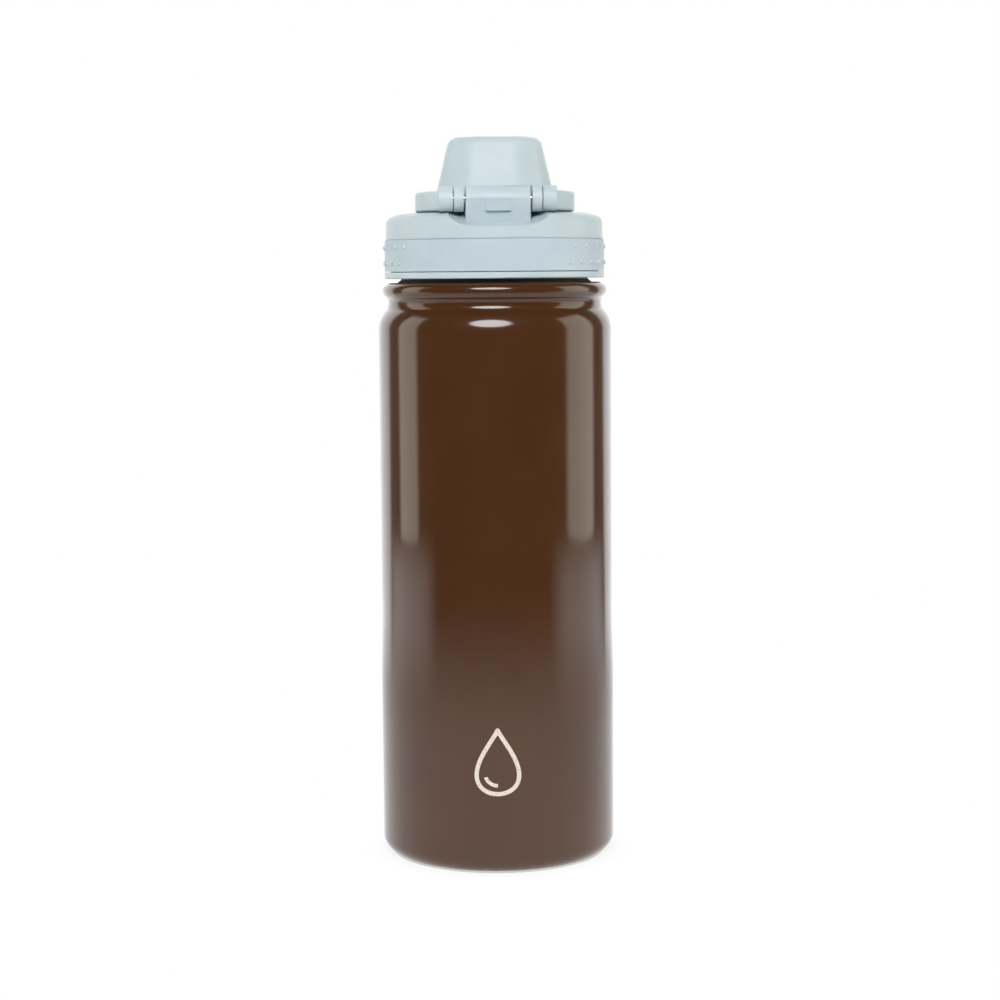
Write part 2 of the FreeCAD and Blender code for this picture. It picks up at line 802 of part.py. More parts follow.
def flip_cover():
    body = node_body("flip_cover")
    height = d.dome_top - d.dome_bottom
    plan = sketch_on(body, "dome_plan", "XY_Plane", d.dome_bottom)
    outline(plan, dome_plan(size_of(0.0)))
    dome = pad(body, "dome", plan, height, draft=-d.dome_draft)
    top = SIZES["dome_top"]
    rim = edges_where(dome.Shape, lambda point: point.z > top - 0.01)
    fillet(body, "dome_shoulder", dome, rim, d.dome_round)
    hollow = sketch_on(body, "hollow_plan", "XY_Plane", d.dome_bottom)
    outline(hollow, dome_plan(d.dome_wall))
    pocket(body, "hollow", hollow, height - d.dome_wall * 1.2, flip=True, draft=-d.dome_draft)

    axis_y, axis_z, reach = -d.hinge_setback, d.hinge_height, d.barrel_radius
    clear = reach + 0.4
    relief = sketch_on(body, "barrel_relief_side", "YZ_Plane")
    outline(relief, [
        (axis_y - clear, d.dome_bottom - 2.0),
        (axis_y + clear, d.dome_bottom - 2.0),
        (axis_y + clear, axis_z, clear),
        (axis_y, axis_z + clear, clear),
        (axis_y - clear, axis_z),
    ])
    pocket(body, "barrel_relief", relief, d.knuckle_inner * 2, side="Symmetric")

    side = sketch_on(body, "knuckle_side", "YZ_Plane", d.knuckle_inner)
    outline(side, [
        (axis_y, axis_z - reach, 9.0),
        (axis_y + 3.2, d.dome_bottom),
        (d.knuckle_root, d.dome_bottom),
        (d.knuckle_root + 1.7, axis_z + reach),
        (axis_y, axis_z + reach, reach),
        (axis_y - reach, axis_z, reach),
    ])
    knuckle = pad(body, "knuckle", side, d.knuckle_outer - d.knuckle_inner)
    mirrored(body, knuckle, "knuckles")
    bore = sketch_on(body, "pin_bore_side", "YZ_Plane")
    circle(bore, axis_y, axis_z, d.pin_radius + d.pin_play)
    pocket(body, "pin_bore", bore, d.knuckle_outer * 2 + 1, side="Symmetric")

    catch = sketch_on(body, "catch_side", "YZ_Plane")
    back = d.catch_front - d.dome_wall
    outline(catch, [
        (back - 1.4, d.catch_bottom), (d.catch_front - 0.4, d.catch_bottom),
        (d.catch_front, d.catch_bottom + 0.4), (d.catch_front, d.dome_bottom - 0.1),
        (back - 0.2, d.dome_bottom + 1.0), (back, d.catch_bottom + 1.6),
        (back - 1.4, d.catch_bottom + 1.2)])
    pad(body, "catch", catch, d.catch_half * 2, side="Symmetric")


def spout_seal_and_carrier():
    """Silicone pad that closes the spout, and the ring that carries it under the dome's roof."""
    roof = d.dome_top - d.dome_wall * 1.2
    pad_top = d.spout_top + 2.5
    turned("spout_seal", [
        (0.0, d.spout_top - 0.6),
        (3.4, d.spout_top - 0.6, 1.2),
        (4.4, d.spout_top + d.seam),
        (d.spout_radius + 0.8, d.spout_top + d.seam),
        (d.spout_radius + 0.8, pad_top),
        (0.0, pad_top),
    ], y=d.spout_place)
    turned("seal_carrier", [
        (0.0, pad_top + 0.02),
        (d.spout_radius + 1.4, pad_top + 0.02),
        (d.spout_radius + 1.4, roof),
        (d.spout_radius, roof),
        (d.spout_radius, pad_top + 1.2),
        (0.0, pad_top + 1.2),
    ], y=d.spout_place)


def carry_loop():
    """Flat loop round the dome, whose ears ride on the ends of the hinge pin."""
    body = node_body("carry_loop")
    plan = sketch_on(body, "loop_plan", "XY_Plane", d.loop_bottom)
    axis_y = -d.hinge_setback
    front = d.dome_front_centre
    inner = d.dome_half + d.loop_gap
    corner_y = d.dome_rear_round - d.dome_rear
    corner = d.dome_rear_round + d.loop_gap
    to_ear = d.ear_inner - d.dome_half + d.dome_rear_round
    ear_y = corner_y.value - (corner.value ** 2 - to_ear.value ** 2) ** 0.5
    outer_round = tangent_radius(d.loop_half - d.ear_outer, corner_y - d.loop_shoulder)
    outline(plan, [
        (d.ear_inner, axis_y),
        (d.ear_outer, axis_y),
        (d.ear_outer, d.loop_shoulder, outer_round),
        (d.loop_half, corner_y),
        (d.loop_half, front, d.loop_half),
        (0.0, front + d.loop_half, d.loop_half),
        (-d.loop_half, front),
        (-d.loop_half, corner_y, outer_round),
        (-d.ear_outer, d.loop_shoulder),
        (-d.ear_outer, axis_y),
        (-d.ear_inner, axis_y),
        (-d.ear_inner, ear_y, -corner),
        (-inner, corner_y),
        (-inner, front, -inner),
        (0.0, front + inner, -inner),
        (inner, front),
        (inner, corner_y, -corner),
        (d.ear_inner, ear_y),
    ])
    band = pad(body, "band", plan, d.loop_top - d.loop_bottom)
    low, high = SIZES["loop_bottom"] + 0.01, SIZES["loop_top"] - 0.01
    flat = edges_where(band.Shape, lambda p: not low < p.z < high and p.y > -20.5)
    rims = [name for name in flat
            if abs(band.Shape.getElement(name).Vertexes[0].Z
                   - band.Shape.getElement(name).Vertexes[-1].Z) < 0.01]
    fillet(body, "band_edges", band, rims, d.loop_edge)
    ear = sketch_on(body, "ear_side", "YZ_Plane", d.ear_inner)
    circle(ear, axis_y, d.hinge_height, d.ear_radius)
    lug = pad(body, "ear", ear, d.ear_outer - d.ear_inner)
    mirrored(body, lug, "ears")
    bore = sketch_on(body, "pin_bore_side", "YZ_Plane")
    circle(bore, axis_y, d.hinge_height, d.pin_radius + d.pin_play)
    pocket(body, "pin_bore", bore, d.ear_outer * 2 - 0.7, side="Symmetric")


# ---------------------------------------------------------------- push button

def release_button():
    """Curved button pad with two rails and the cross-bar that stands over the cover's catch."""
    body = node_body("release_button")
    section = sketch_on(body, "button_section", "YZ_Plane")
    back = d.cover_radius - d.cover_wall - 0.1
    outline(section, rectangle(back, d.button_stand, d.button_low, d.button_high))
    face = revolve(body, "button_face", section, angle=d.button_angle, side="Symmetric")
    corners = [f"Edge{i}" for i, edge in enumerate(face.Shape.Edges, start=1)
               if edge.Curve.TypeId == "Part::GeomLine"
               and abs(edge.Vertexes[0].Z - edge.Vertexes[-1].Z) < 0.01]
    fillet(body, "button_ends", face, corners, 1.9)
    rails = sketch_on(body, "rails_plan", "XY_Plane", d.button_low + 0.4)
    nose = d.catch_front - 3.5
    for x0, x1 in ((d.rail_inner, d.rail_outer), (-d.rail_outer, -d.rail_inner)):
        outline(rails, rectangle(x0, x1, nose - 3.2, back + 0.3))
    pad(body, "rails", rails, d.button_high - d.button_low - 0.8)
    bar = sketch_on(body, "bar_plan", "XY_Plane", d.button_high - 1.1)
    outline(bar, rectangle(-d.rail_outer, d.rail_outer, nose - 3.2, nose))
    pad(body, "cross_bar", bar, 1.1)


def button_spring():
    start = SIZES["post_front"] + 0.1
    middle = (SIZES["button_low"] + SIZES["button_high"]) / 2
    coil("button_spring", 1.3, 0.25, 1.0, 4.0, FreeCAD.Placement(
        V(0, start, middle), Rotation(V(1, 0, 0), -90)))


outer_shell()
base_plate()
vacuum_fittings()
inner_flask()
neck_collar()
shoulder_gasket()
lid_gasket()
lid_body()
grip_ring()
lid_cover()
lid_liner()
spout()
vent_valve()
hinge_hardware()
flip_cover()
spout_seal_and_carrier()
carry_loop()
release_button()
button_spring()
doc.recompute()

for item in doc.Objects:
    if "Invalid" in item.State or "Error" in item.State:
        raise ValueError(f"{item.Label} failed: {item.State}")
for node in nodes:
    if node.Shape.isNull() or not node.Shape.isValid() or len(node.Shape.Solids) != 1:
        raise ValueError(f"{node.Label} is not one valid solid")

os.makedirs("parts", exist_ok=True)
for node in nodes:
    node.Shape.exportStep(f"parts/{node.Label}.step")
print(f"{len(nodes)} parts written")
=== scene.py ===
import json
import math

import bmesh
import bpy
from mathutils import Matrix, Vector


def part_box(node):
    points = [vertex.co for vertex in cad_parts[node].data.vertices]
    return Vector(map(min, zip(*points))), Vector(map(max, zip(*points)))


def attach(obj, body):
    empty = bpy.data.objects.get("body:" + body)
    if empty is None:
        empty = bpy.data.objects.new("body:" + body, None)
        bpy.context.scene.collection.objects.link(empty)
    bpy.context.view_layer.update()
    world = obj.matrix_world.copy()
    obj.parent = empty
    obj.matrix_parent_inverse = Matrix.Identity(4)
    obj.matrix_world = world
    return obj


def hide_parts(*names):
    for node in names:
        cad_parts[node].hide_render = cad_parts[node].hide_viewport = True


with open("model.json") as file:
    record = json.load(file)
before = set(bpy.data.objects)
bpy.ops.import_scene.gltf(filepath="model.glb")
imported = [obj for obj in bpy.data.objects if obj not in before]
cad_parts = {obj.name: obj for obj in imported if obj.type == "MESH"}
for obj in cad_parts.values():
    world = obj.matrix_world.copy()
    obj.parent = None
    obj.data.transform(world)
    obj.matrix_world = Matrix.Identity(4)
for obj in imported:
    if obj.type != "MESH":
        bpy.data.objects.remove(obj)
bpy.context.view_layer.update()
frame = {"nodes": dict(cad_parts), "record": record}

# Insulated bottle with a flip lid. Metres, +Z up, hinge side towards -Y.
MM = 0.001
SHEET_STEEL = 0.6 * MM
PRINT_FILM = 0.03 * MM
nodes = frame["nodes"]


# ---------------------------------------------------------------- node and colour helpers

def linear(code):
    """An sRGB hex colour as the linear colour that shaders take."""
    parts = [int(code[i:i + 2], 16) / 255 for i in (1, 3, 5)]
    return (*[c / 12.92 if c <= 0.04045 else ((c + 0.055) / 1.055) ** 2.4 for c in parts], 1.0)


def add(tree, kind, inputs=None, **settings):
    """Adds a node. An input given a socket is linked to it; any other value is set on it."""
    made = tree.nodes.new(kind)
    for name, value in settings.items():
        setattr(made, name, value)
    for name, value in (inputs or {}).items():
        if isinstance(value, bpy.types.NodeSocket):
            tree.links.new(value, made.inputs[name])
        else:
            made.inputs[name].default_value = value
    return made


def finish_named(name):
    """A new material with an empty node tree."""
    material = bpy.data.materials.new(name)
    material.use_nodes = True
    material.node_tree.nodes.clear()
    return material, material.node_tree


def per_size(millimetres):
    """Texture scale whose pattern repeats about every so many millimetres."""
    return 1 / (millimetres * MM)


# ---------------------------------------------------------------- finishes

def gloss_lacquer():
    """Baked gloss lacquer, sprayed on steel: deep brown under a clear top coat, so the lamps
    show as crisp bands, barely waved by orange peel."""
    material, tree = finish_named("baked_gloss_lacquer")
    place = add(tree, "ShaderNodeTexCoord").outputs["Object"]
    cloud = add(tree, "ShaderNodeTexNoise", {"Vector": place, "Scale": per_size(24), "Detail": 3.0})
    depth = add(tree, "ShaderNodeValToRGB", {"Fac": cloud.outputs["Fac"]})
    depth.color_ramp.elements[0].color = linear("#41240E")
    depth.color_ramp.elements[0].position = 0.3
    depth.color_ramp.elements[1].color = linear("#482911")
    depth.color_ramp.elements[1].position = 0.7
    # pigment flecks: 0.1 mm in the tin, drawn at 0.6 mm so that they show at all
    fleck = add(tree, "ShaderNodeTexNoise", {
        "Vector": place, "Scale": per_size(0.6), "Detail": 1.0})
    flecked = add(tree, "ShaderNodeMix", {
        0: 0.06, 6: depth.outputs["Color"], 7: fleck.outputs["Color"]},
        data_type="RGBA", blend_type="SOFT_LIGHT")
    # rubbed rim of the foot, where the bottle is set down: the lowest 3.5 mm
    height = add(tree, "ShaderNodeSeparateXYZ", {"Vector": place}).outputs["Z"]
    low = add(tree, "ShaderNodeMapRange", {
        "Value": height, "From Min": 1.2 * MM, "From Max": 3.5 * MM, "To Min": 1.0, "To Max": 0.0})
    scuff = add(tree, "ShaderNodeTexNoise", {
        "Vector": place, "Scale": per_size(1.6), "Detail": 4.0})
    scuff_edge = add(tree, "ShaderNodeMapRange", {
        "Value": scuff.outputs["Fac"], "From Min": 0.52, "From Max": 0.66,
        "To Min": 0.0, "To Max": 0.5})
    worn = add(tree, "ShaderNodeMath", {0: low.outputs["Result"], 1: scuff_edge.outputs["Result"]},
               operation="MULTIPLY")
    colour = add(tree, "ShaderNodeMix", {
        0: worn.outputs["Value"], 6: flecked.outputs[2], 7: linear("#6E5644")}, data_type="RGBA")
    handling = add(tree, "ShaderNodeTexNoise", {
        "Vector": place, "Scale": per_size(9), "Detail": 5.0})
    rough = add(tree, "ShaderNodeMapRange", {
        "Value": handling.outputs["Fac"], "From Min": 0.3, "From Max": 0.7,
        "To Min": 0.34, "To Max": 0.42})
    # orange peel: waves 2.5 mm long and a few thousandths of a millimetre high
    peel = add(tree, "ShaderNodeTexNoise", {"Vector": place, "Scale": per_size(2.5), "Detail": 1.0})
    waves = add(tree, "ShaderNodeBump", {
        "Height": peel.outputs["Fac"], "Strength": 1.0, "Distance": 0.006 * MM})
    lacquer = add(tree, "ShaderNodeBsdfPrincipled", {
        "Base Color": colour.outputs[2], "Roughness": rough.outputs["Result"], "IOR": 1.5,
        "Specular IOR Level": 0.1, "Coat Weight": 1.0, "Coat Roughness": 0.06, "Coat IOR": 1.5,
        "Normal": waves.outputs["Normal"], "Coat Normal": waves.outputs["Normal"]})
    add(tree, "ShaderNodeOutputMaterial", {"Surface": lacquer.outputs["BSDF"]})
    return material


def moulded_plastic(name, light, deep, rough_low, rough_high, grain_mm, grain_depth, sheen=0.0,
                    soft=0.0):
    """A moulded plastic: a grained, satin skin whose colour drifts a little with the melt's flow."""
    material, tree = finish_named(name)
    place = add(tree, "ShaderNodeTexCoord").outputs["Object"]
    flow = add(tree, "ShaderNodeTexNoise", {
        "Vector": place, "Scale": per_size(15), "Detail": 2.0, "Distortion": 0.6})
    colour = add(tree, "ShaderNodeValToRGB", {"Fac": flow.outputs["Fac"]})
    colour.color_ramp.elements[0].color = linear(deep)
    colour.color_ramp.elements[0].position = 0.3
    colour.color_ramp.elements[1].color = linear(light)
    colour.color_ramp.elements[1].position = 0.7
    wear = add(tree, "ShaderNodeTexNoise", {"Vector": place, "Scale": per_size(4), "Detail": 5.0})
    rough = add(tree, "ShaderNodeMapRange", {
        "Value": wear.outputs["Fac"], "From Min": 0.3, "From Max": 0.7,
        "To Min": rough_low, "To Max": rough_high})
    grain = add(tree, "ShaderNodeTexNoise", {
        "Vector": place, "Scale": per_size(grain_mm), "Detail": 2.0, "Roughness": 0.6})
    skin = add(tree, "ShaderNodeBump", {
        "Height": grain.outputs["Fac"], "Strength": 1.0, "Distance": grain_depth * MM})
    plastic = add(tree, "ShaderNodeBsdfPrincipled", {
        "Base Color": colour.outputs["Color"], "Roughness": rough.outputs["Result"], "IOR": 1.49,
        "Sheen Weight": sheen, "Subsurface Weight": soft, "Subsurface Radius": (1.0, 1.0, 1.0),
        "Subsurface Scale": 1.2 * MM, "Normal": skin.outputs["Normal"]})
    add(tree, "ShaderNodeOutputMaterial", {"Surface": plastic.outputs["BSDF"]})
    return material


def spun_steel():
    """18/8 stainless steel, spun and turned: fine rings round the axis that fan a lamp out."""
    material, tree = finish_named("spun_stainless_steel")
    place = add(tree, "ShaderNodeTexCoord").outputs["Object"]
    apart = add(tree, "ShaderNodeSeparateXYZ", {"Vector": place})
    flat = add(tree, "ShaderNodeCombineXYZ", {"X": apart.outputs["X"], "Y": apart.outputs["Y"]})
    radius = add(tree, "ShaderNodeVectorMath", {0: flat.outputs["Vector"]}, operation="LENGTH")
    rings = add(tree, "ShaderNodeCombineXYZ", {
        "X": radius.outputs["Value"], "Y": apart.outputs["Z"]})
    # tool marks: 0.1 mm feed, drawn at 0.5 mm so that they show
    marks = add(tree, "ShaderNodeTexNoise", {
        "Vector": rings.outputs["Vector"], "Scale": per_size(0.5), "Detail": 3.0})
    tint = add(tree, "ShaderNodeValToRGB", {"Fac": marks.outputs["Fac"]})
    tint.color_ramp.elements[0].color = linear("#B7B4AE")
    tint.color_ramp.elements[1].color = linear("#D2D0CB")
    rough = add(tree, "ShaderNodeMapRange", {
        "Value": marks.outputs["Fac"], "From Min": 0.3, "From Max": 0.7,
        "To Min": 0.24, "To Max": 0.4})
    ridges = add(tree, "ShaderNodeBump", {
        "Height": marks.outputs["Fac"], "Strength": 1.0, "Distance": 0.01 * MM})
    steel = add(tree, "ShaderNodeBsdfPrincipled", {
        "Base Color": tint.outputs["Color"], "Metallic": 1.0, "Roughness": rough.outputs["Result"],
        "Anisotropic": 0.4, "Normal": ridges.outputs["Normal"]})
    add(tree, "ShaderNodeOutputMaterial", {"Surface": steel.outputs["BSDF"]})
    return material


def drawn_wire_steel():
    """Spring steel, drawn bright: a near-mirror wire with faint die lines along it."""
    material, tree = finish_named("bright_drawn_spring_steel")
    place = add(tree, "ShaderNodeTexCoord").outputs["Object"]
    along = add(tree, "ShaderNodeMapping", {"Vector": place, "Scale": (0.05, 1.0, 1.0)})
    # die lines: hundredths of a millimetre, drawn at 0.3 mm
    lines = add(tree, "ShaderNodeTexNoise", {
        "Vector": along.outputs["Vector"], "Scale": per_size(0.3), "Detail": 2.0})
    tint = add(tree, "ShaderNodeValToRGB", {"Fac": lines.outputs["Fac"]})
    tint.color_ramp.elements[0].color = linear("#BDBEC0")
    tint.color_ramp.elements[1].color = linear("#DCDDDF")
    rough = add(tree, "ShaderNodeMapRange", {
        "Value": lines.outputs["Fac"], "From Min": 0.3, "From Max": 0.7,
        "To Min": 0.12, "To Max": 0.24})
    steel = add(tree, "ShaderNodeBsdfPrincipled", {
        "Base Color": tint.outputs["Color"], "Metallic": 1.0, "Roughness": rough.outputs["Result"]})
    add(tree, "ShaderNodeOutputMaterial", {"Surface": steel.outputs["BSDF"]})
    return material


def pad_ink():
    """Cream pad-printing ink, cured on the lacquer: opaque, a little chalky, with pinholes."""
    material, tree = finish_named("cream_pad_print_ink")
    place = add(tree, "ShaderNodeTexCoord").outputs["Object"]
    # pinholes where the pad lifted: 0.2 mm, drawn at 0.5 mm
    holes = add(tree, "ShaderNodeTexNoise", {
        "Vector": place, "Scale": per_size(0.5), "Detail": 2.0})
    colour = add(tree, "ShaderNodeValToRGB", {"Fac": holes.outputs["Fac"]})
    colour.color_ramp.elements[0].color = linear("#B9A899")
    colour.color_ramp.elements[0].position = 0.3
    colour.color_ramp.elements[1].color = linear("#DDD0C3")
    colour.color_ramp.elements[1].position = 0.5
    film = add(tree, "ShaderNodeBump", {
        "Height": holes.outputs["Fac"], "Strength": 1.0, "Distance": 0.01 * MM})
    ink = add(tree, "ShaderNodeBsdfPrincipled", {
        "Base Color": colour.outputs["Color"], "Roughness": 0.5, "IOR": 1.5,
        "Normal": film.outputs["Normal"]})
    add(tree, "ShaderNodeOutputMaterial", {"Surface": ink.outputs["BSDF"]})
    return material


lacquer = gloss_lacquer()
steel = spun_steel()
wire_steel = drawn_wire_steel()
ink = pad_ink()
# polypropylene, injection moulded: pale blue-grey and satin, from a finely spark-eroded mould
# (0.1 mm grain, drawn at 0.45 mm)
lid_plastic = moulded_plastic(
    "satin_moulded_polypropylene", "#BCCACF", "#B5C4CA", 0.40, 0.50, 0.45, 0.008, soft=0.1)
# thermoplastic rubber, moulded over the lid: the same colour, duller, with a soft bloom
grip_rubber = moulded_plastic(
    "soft_touch_moulded_rubber", "#B6C5CC", "#AFBFC7", 0.55, 0.68, 0.6, 0.012, sheen=0.15)
# natural polypropylene, injection moulded: milky white and smoother than the lid
liner_plastic = moulded_plastic(
    "natural_white_polypropylene", "#EDF0EF", "#E4E8E8", 0.30, 0.38, 0.5, 0.004, soft=0.25)
# liquid silicone rubber, moulded: milky, waxy and soft
silicone = moulded_plastic(
    "milky_moulded_silicone", "#DDE2E2", "#D2D8D9", 0.38, 0.48, 0.5, 0.004, soft=0.6)
# nitrile rubber, compression moulded: dark grey, matt, with a dusty bloom
seal_rubber = moulded_plastic(
    "black_moulded_rubber", "#737A76", "#696F6B", 0.42, 0.60, 0.7, 0.01, sheen=0.1)

FINISHES = {
    "painted_shell": lacquer,
    "stainless_steel": steel,
    "pin_steel": wire_steel,
    "black_rubber": seal_rubber,
    "silicone": silicone,
    "lid_plastic": lid_plastic,
    "grip_rubber": grip_rubber,
    "liner_plastic": liner_plastic,
}
for part in frame["record"]["subparts"]:
    for holder in nodes[part["node"]].material_slots:
        holder.material = FINISHES[part["material_slot"]]


# ---------------------------------------------------------------- pieces

def piece_from(name, form, material, body):
    """A smooth-shaded piece of the finished mesh, riding on a body."""
    mesh = bpy.data.meshes.new(name)
    bmesh.ops.recalc_face_normals(form, faces=form.faces)
    form.to_mesh(mesh)
    form.free()
    mesh.materials.append(material)
    mesh.shade_smooth()
    made = bpy.data.objects.new(name, mesh)
    bpy.context.scene.collection.objects.link(made)
    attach(made, body)
    return made


def arc(start, end, bulge, steps=14):
    """Points of an arc from start towards end, without end. Bulge is its radius: positive puts its
    centre to the left of the way there, negative to the right."""
    (x0, y0), (x1, y1) = start, end
    half = math.hypot(x1 - x0, y1 - y0) / 2
    rise = math.sqrt(max(bulge * bulge - half * half, 0.0))
    nx, ny = -(y1 - y0) / (2 * half), (x1 - x0) / (2 * half)
    side = 1 if bulge > 0 else -1
    cx, cy = (x0 + x1) / 2 + nx * rise * side, (y0 + y1) / 2 + ny * rise * side
    first = math.atan2(y0 - cy, x0 - cx)
    sweep = (math.atan2(y1 - cy, x1 - cx) - first + math.pi) % (2 * math.pi) - math.pi
    radius = abs(bulge)
    return [(cx + radius * math.cos(first + sweep * i / steps),
             cy + radius * math.sin(first + sweep * i / steps)) for i in range(steps)]


def tangent_radius(across, along):
    """Radius of an arc that starts straight ahead and ends across and along from its start."""
    return (across * across + along * along) / (2 * across)


def shell_outline():
    """The side of the steel shell from foot to neck: (radius, height) in metres."""
    low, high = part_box("outer_shell")
    side, foot, collar = high.x, 34.35 * MM, 28.1 * MM
    corner_top, shoulder = 5.0 * MM, 164.0 * MM
    groove, groove_height = 33.4 * MM, 172.3 * MM
    bead, bead_height, belly, bead_round = 35.1 * MM, 176.3 * MM, 3.1 * MM, 2.4 * MM
    share = 0.745  # how much of the way from shoulder to groove curves outwards
    whole = tangent_radius(side - groove, groove_height - shoulder)
    bend = (side + (groove - side) * share, shoulder + (groove_height - shoulder) * share)
    rising = tangent_radius(bead - groove, bead_height - groove_height)
    small = belly / rising
    turn = (groove + (bead - groove) * (1 - small),
            groove_height + (bead_height - groove_height) * (1 - small))
    corner = tangent_radius(side - foot, corner_top - low.z)
    spans = 24
    straight = [(side, corner_top + (shoulder - corner_top) * i / spans) for i in range(spans)]
    return [
        *arc((foot, low.z), (side, corner_top), corner),
        *straight,
        *arc((side, shoulder), bend, whole * share, 20),
        *arc(bend, (groove, groove_height), -whole * (1 - share), 14),
        *arc((groove, groove_height), turn, -rising * (1 - small), 12),
        *arc(turn, (bead, bead_height), rising * small, 12),
        *arc((bead, bead_height), (bead - bead_round, high.z), bead_round, 18),
        (bead - bead_round, high.z), (collar, high.z),
    ]


def wall_inside(line, thickness):
    """The same line moved in by the thickness, square to its own direction."""
    moved = []
    for i, (x, y) in enumerate(line):
        x0, y0 = line[max(i - 1, 0)]
        x1, y1 = line[min(i + 1, len(line) - 1)]
        length = math.hypot(x1 - x0, y1 - y0)
        moved.append((x - (y1 - y0) / length * thickness, y + (x1 - x0) / length * thickness))
    return moved


def lathe(name, loop, material, body, steps=224):
    """A closed outline of (radius, height) turned about the bottle's axis."""
    form = bmesh.new()
    rings = []
    for step in range(steps):
        angle = 2 * math.pi * step / steps
        rings.append([
            form.verts.new((r * math.cos(angle), r * math.sin(angle), z)) for r, z in loop])
    for step in range(steps):
        here, there = rings[step], rings[(step + 1) % steps]
        for i in range(len(loop)):
            following = (i + 1) % len(loop)
            form.faces.new((here[i], there[i], there[following], here[following]))
    return piece_from(name, form, material, body)


outside = shell_outline()
shell = lathe("lacquered_shell", outside + wall_inside(outside, SHEET_STEEL)[::-1], lacquer,
              "bottle")
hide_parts("outer_shell")


def drop_line(steps=96):
    """A falling drop's outline about its middle, 1 unit tall: (across, up)."""
    line = []
    for i in range(steps):
        t = 2 * math.pi * i / steps
        line.append((0.46 * math.sin(t) * math.sin(t / 2) ** 1.4, 0.5 * math.cos(t)))
    return line


def beside(line, distance, closed):
    """The line moved sideways: to the left of its own direction for a positive distance."""
    count = len(line)
    moved = []
    for i, (x, y) in enumerate(line):
        x0, y0 = line[(i - 1) % count] if closed else line[max(i - 1, 0)]
        x1, y1 = line[(i + 1) % count] if closed else line[min(i + 1, count - 1)]
        length = math.hypot(x1 - x0, y1 - y0)
        moved.append((x - (y1 - y0) / length * distance, y + (x1 - x0) / length * distance))
    return moved


def wrapped_band(name, left, right, radius, centre, material, body, closed):
    """A printed film between two lines on the bottle's side: each is (across, up) in metres, and
    centre is the print's place as (angle, height)."""
    form = bmesh.new()
    rows = []
    for near, far in zip(left, right):
        row = []
        for (x, y), lift in ((near, -PRINT_FILM), (near, PRINT_FILM),
                             (far, PRINT_FILM), (far, -PRINT_FILM)):
            angle = centre[0] + x / radius
            row.append(form.verts.new((
                (radius + lift) * math.sin(angle), -(radius + lift) * math.cos(angle),
                centre[1] + y)))
        rows.append(row)
    for here, there in zip(rows, rows[1:] + rows[:1] if closed else rows[1:]):
        for k in range(4):
            following = (k + 1) % 4
            form.faces.new((here[k], there[k], there[following], here[following]))
    if not closed:
        form.faces.new(rows[0])
        form.faces.new(rows[-1][::-1])
    bmesh.ops.remove_doubles(form, verts=form.verts, dist=0.001 * MM)
    made = piece_from(name, form, material, body)
    made.data.shade_flat()
    return made


side_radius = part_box("outer_shell")[1].x
badge = (math.radians(-2.7), 35.0 * MM)
badge_tall, drop_stroke, glint_stroke = 19.6 * MM, 1.3 * MM, 1.1 * MM
drop = [(x * badge_tall, y * badge_tall) for x, y in drop_line()]
outer_edge = beside(drop, drop_stroke / 2, closed=True)
inner_edge = beside(drop, -drop_stroke / 2, closed=True)
# the two sides of the inner edge meet below the tip
apex = (0.0, max(y for (x, y), (side, _) in zip(inner_edge, drop) if x * side > 0))
inner_edge = [(x, y) if x * side > 0 or y < 0 else apex
              for (x, y), (side, _) in zip(inner_edge, drop)]
wrapped_band("printed_drop", outer_edge, inner_edge, side_radius, badge, ink, "bottle",
             closed=True)
# the glint inside the drop: 70 degrees of a circle, as shares of the drop's height
glint_radius, glint_centre, glint_steps = 0.2, -0.17, 20
glint_angles = [math.radians(200 + 70 * i / glint_steps) for i in range(glint_steps + 1)]
glint = [(badge_tall * glint_radius * math.cos(a),
          badge_tall * (glint_radius * math.sin(a) + glint_centre)) for a in glint_angles]
wrapped_band("printed_glint", beside(glint, glint_stroke / 2, closed=False),
             beside(glint, -glint_stroke / 2, closed=False), side_radius, badge, ink, "bottle",
             closed=False)


# ---------------------------------------------------------------- studio

# azimuths of the lamps, 0 being -Y and 90 +X, and how far they stand from the bottle's axis
LEFT_AZIMUTH, RIGHT_AZIMUTH, FRONT_AZIMUTH = -95.7, 88.0, -6.8
LAMP_DISTANCE, SIDE_LAMP_HEIGHT, FRONT_LAMP_HEIGHT = 0.85, 0.325, 0.67
# the lit backdrop begins and is full where this share of a direction points to +Y
BACKDROP_START, BACKDROP_FULL = 0.56, 0.68
BACKDROP_LIGHT, DARK_STUDIO = 1.6, 0.03
TABLE_SIDE = 6.0


def panel(name, width, height, centre, facing, material):
    """A flat rectangle that isn't part of the bottle, its front turned to a point."""
    form = bmesh.new()
    for x, y in ((-0.5, -0.5), (0.5, -0.5), (0.5, 0.5), (-0.5, 0.5)):
        form.verts.new((x * width, y * height, 0.0))
    form.faces.new(form.verts)
    mesh = bpy.data.meshes.new(name)
    form.to_mesh(mesh)
    form.free()
    mesh.materials.append(material)
    made = bpy.data.objects.new(name, mesh)
    bpy.context.scene.collection.objects.link(made)
    turn = (Vector(facing) - Vector(centre)).to_track_quat("Z", "Y")
    made.matrix_world = Matrix.Translation(centre) @ turn.to_matrix().to_4x4()
    return made


